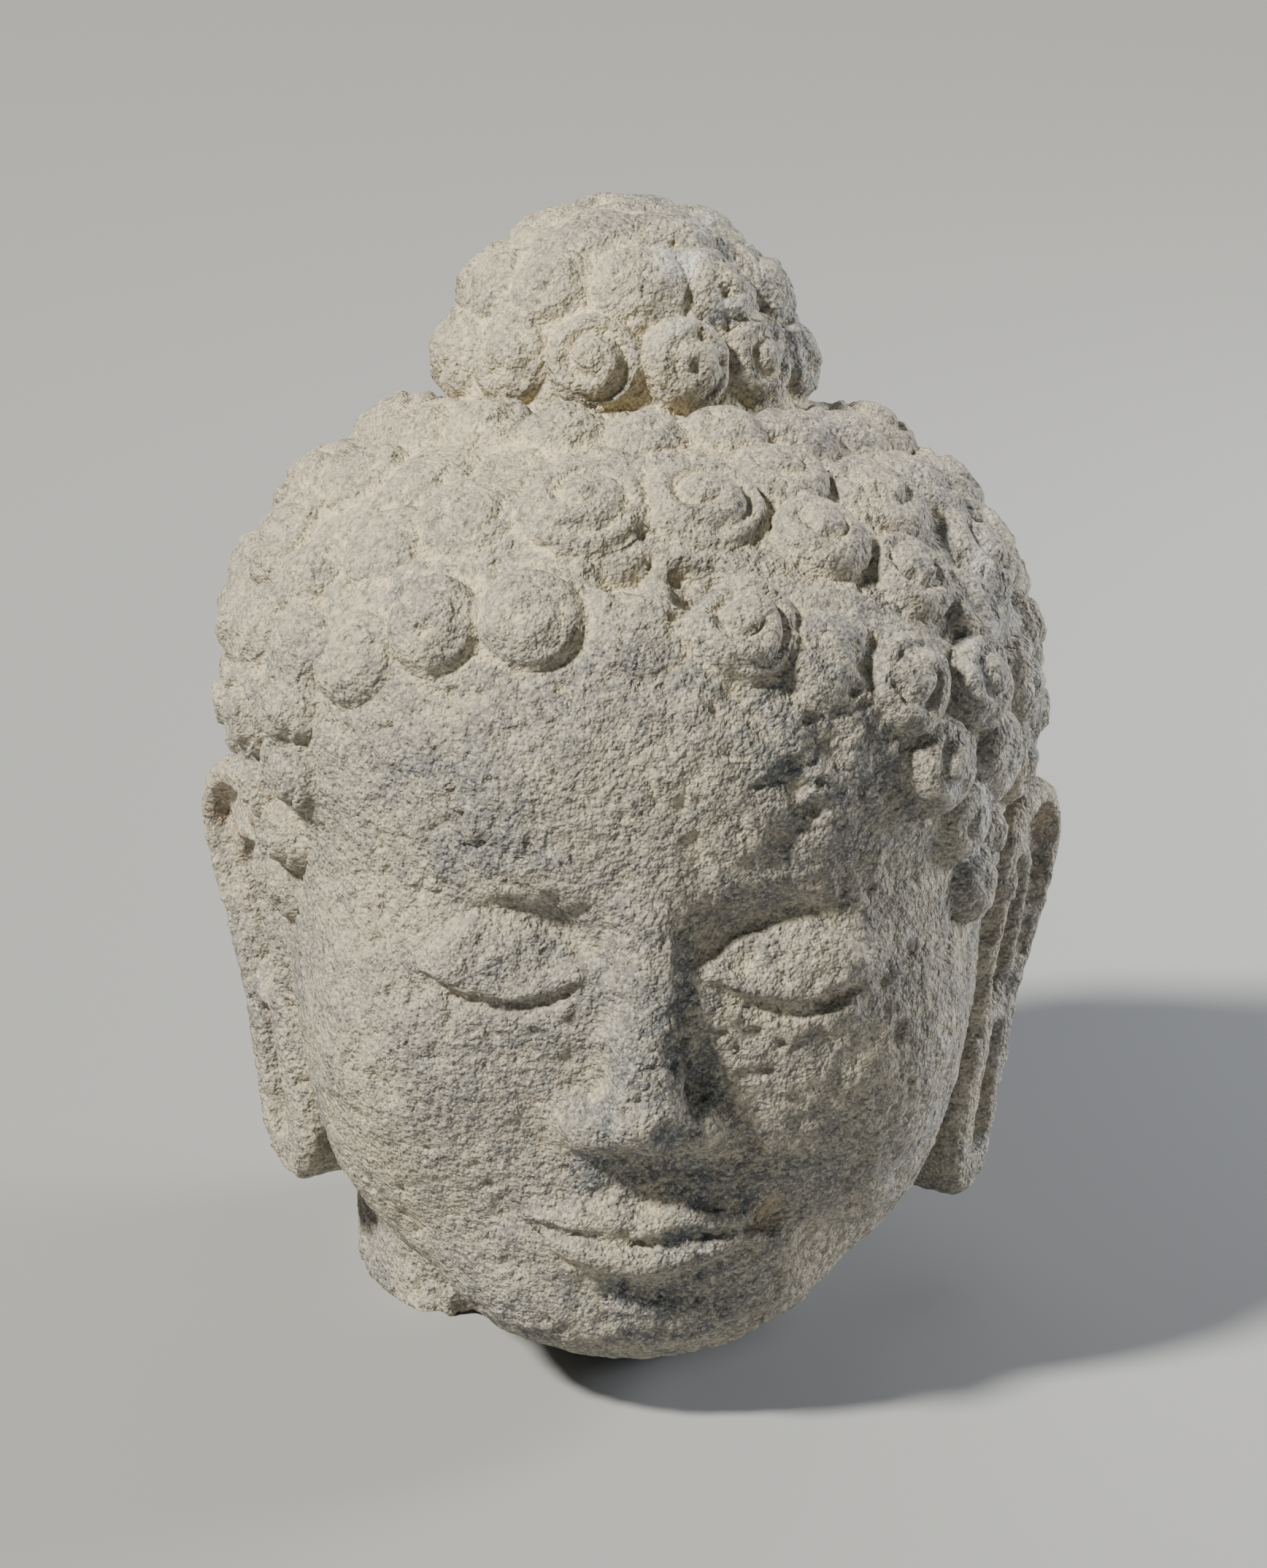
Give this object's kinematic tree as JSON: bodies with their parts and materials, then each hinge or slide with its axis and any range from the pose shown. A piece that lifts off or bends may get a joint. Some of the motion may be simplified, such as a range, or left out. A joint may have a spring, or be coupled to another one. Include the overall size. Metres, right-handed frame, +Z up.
{
  "type": "buddha head",
  "caption": "Carved stone buddha head with snail-shell curls, a domed topknot and long slit ears, broken off at the neck and cut flat below.",
  "frame": {"origin": "middle of the neck's flat underside", "axes": "+Z up through the topknot, the face looks along -Y, and +X is the head's own left side"},
  "size_m": [0.2656, 0.2788, 0.3336],
  "materials": {
    "stone": "rough, weathered and pitted"
  },
  "bodies": {
    "root": {"head": "stone"}
  },
  "joints": []
}
